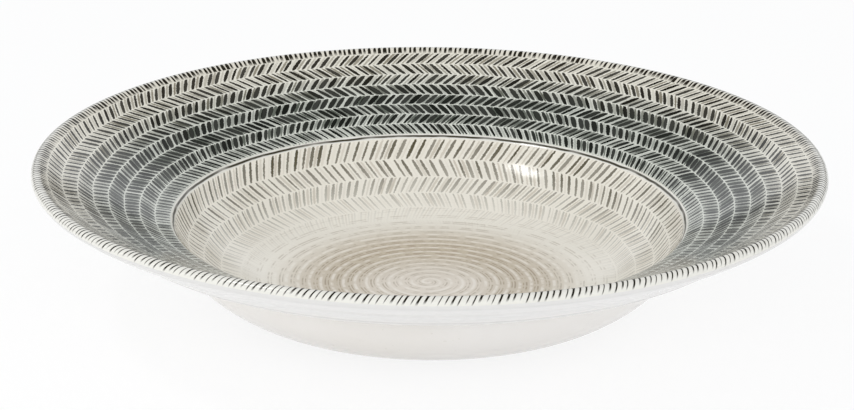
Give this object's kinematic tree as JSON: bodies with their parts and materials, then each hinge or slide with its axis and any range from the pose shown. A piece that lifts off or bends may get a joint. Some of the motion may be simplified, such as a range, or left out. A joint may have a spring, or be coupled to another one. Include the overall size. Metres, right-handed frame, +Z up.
{
  "type": "pasta plate",
  "caption": "Round wide-rimmed pasta plate with a deep rounded well, a sloping printed rim, a rounded lip and a low foot ring.",
  "frame": {"origin": "centre of the foot ring's resting face, on the table", "axes": "+Z up along the plate's axis; X and Y lie in the table, with -Y towards the viewer of the picture"},
  "size_m": [0.3, 0.3, 0.0595],
  "materials": {
    "bare_stoneware": "bare fired clay, matte",
    "cream_glaze": "gloss glaze, warm cream",
    "white_glaze": "gloss glaze, off-white",
    "edge_print": "glossy print of short dark ticks on cream",
    "outer_rim_print": "glossy herringbone of dark and taupe strokes on cream",
    "inner_rim_print": "glossy herringbone of near-black and slate strokes on pale grey",
    "well_print": "glossy herringbone of thin olive strokes on cream",
    "centre_print": "glossy print of a fine pale spiral on taupe"
  },
  "bodies": {
    "root": {"stoneware_body": "bare_stoneware", "face_glaze": "cream_glaze", "back_glaze": "white_glaze", "recess_glaze": "white_glaze", "edge_print": "edge_print", "outer_rim_print": "outer_rim_print", "inner_rim_print": "inner_rim_print", "well_print": "well_print", "centre_print": "centre_print"}
  },
  "joints": []
}
